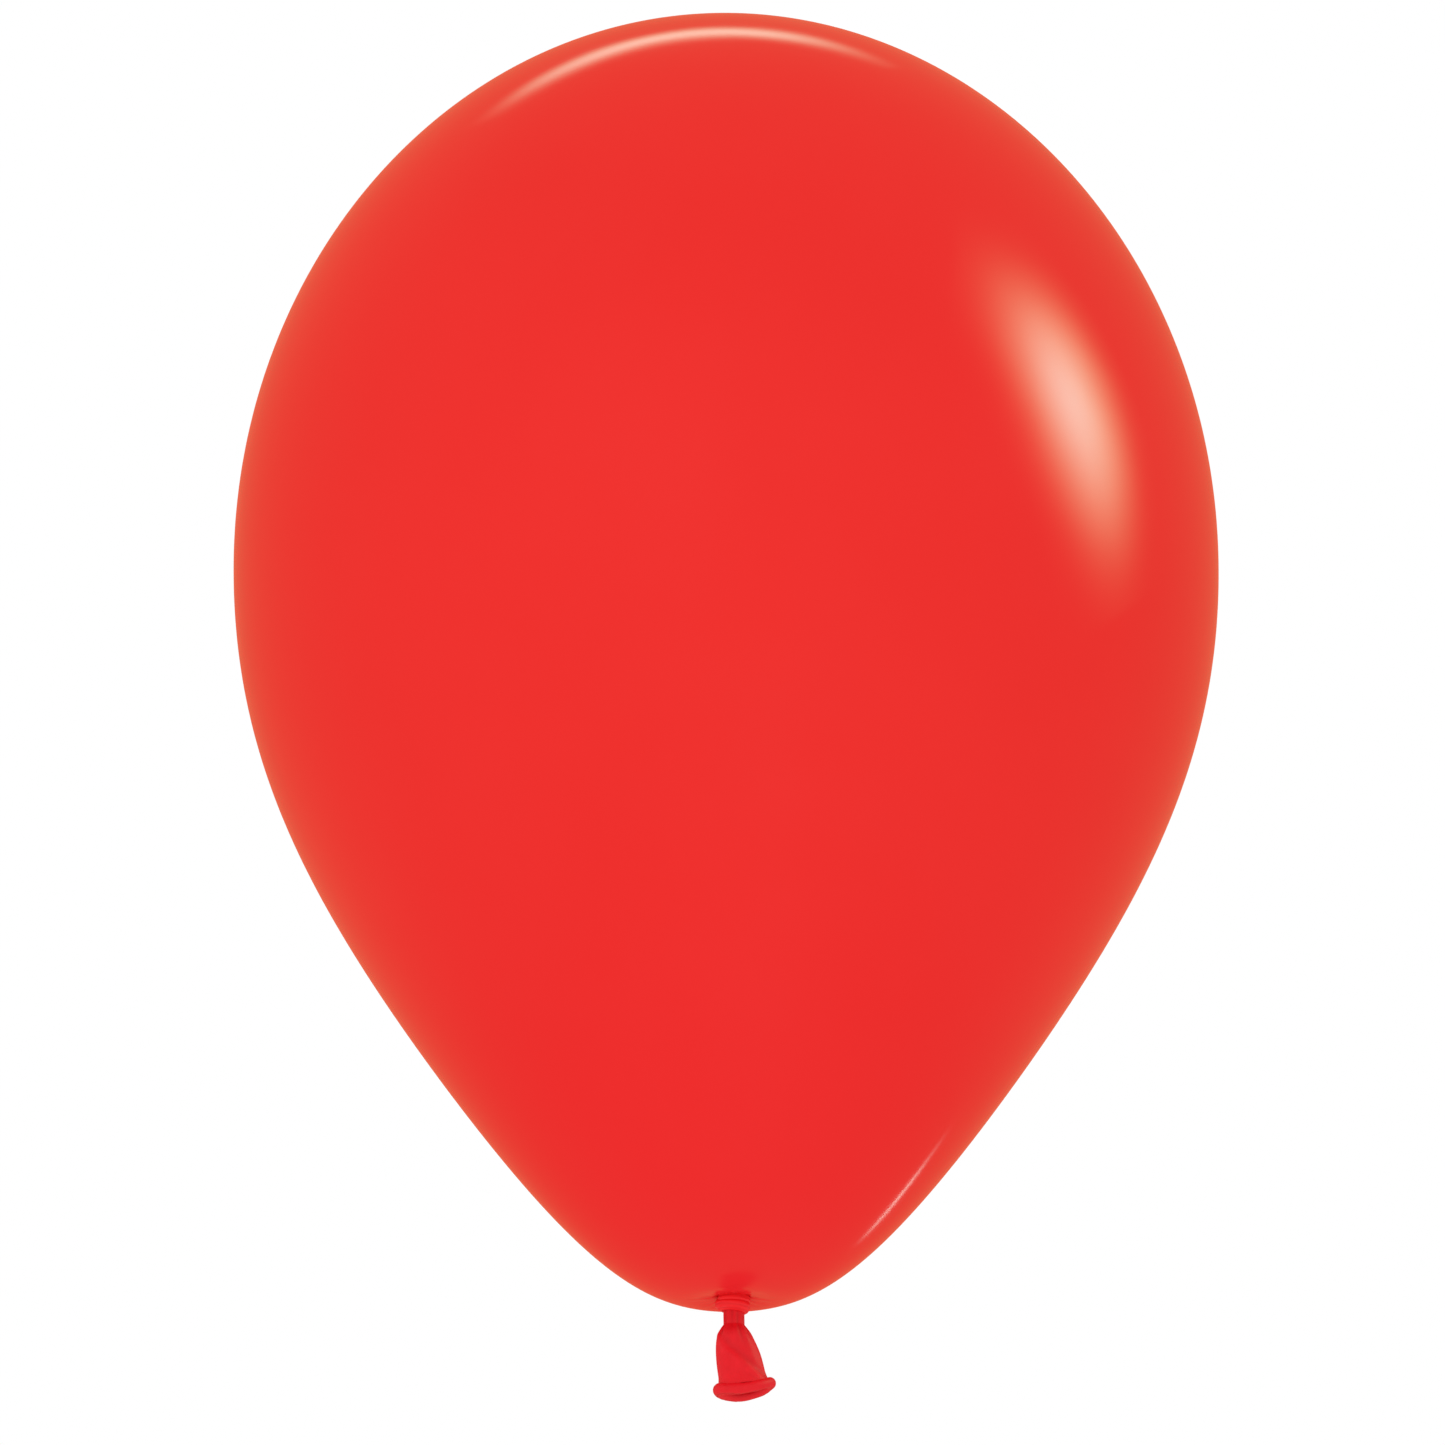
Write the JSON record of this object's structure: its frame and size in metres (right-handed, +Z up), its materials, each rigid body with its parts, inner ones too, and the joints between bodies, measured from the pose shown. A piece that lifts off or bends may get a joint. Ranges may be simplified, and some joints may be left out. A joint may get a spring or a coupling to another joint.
{
  "type": "latex balloon",
  "caption": "Inflated teardrop latex balloon, tied with a hand knot, with a dimpled base, pinched neck and slack flared tail ending in a rolled lip.",
  "frame": {"origin": "centre of the knot's underside, on the balloon's axis, where a ribbon ties on", "axes": "+Z up along the balloon's axis from the knot to the crown, +X towards the side the slack tail leans to"},
  "size_m": [0.3, 0.3, 0.4323],
  "materials": {
    "stretched_latex": "gloss",
    "slack_latex": "satin"
  },
  "bodies": {
    "root": {"envelope": "stretched_latex", "gathered_core": "slack_latex", "knot": "slack_latex"},
    "neck": {"neck": "slack_latex"},
    "tail": {"tail_skirt": "slack_latex", "rolled_lip": "slack_latex"}
  },
  "joints": [
    {"name": "neck_bend", "type": "hinge", "parent": "root", "child": "neck", "pos_m": [0, 0, -0.0027], "axis": [1, 0, 0], "range_deg": [-60, 60], "stiffness_Nm_per_rad": 0.0005},
    {"name": "tail_sway", "type": "hinge", "parent": "neck", "child": "tail", "pos_m": [0, 0, -0.0079], "axis": [0, 1, 0], "range_deg": [-60, 60], "stiffness_Nm_per_rad": 0.0005}
  ]
}
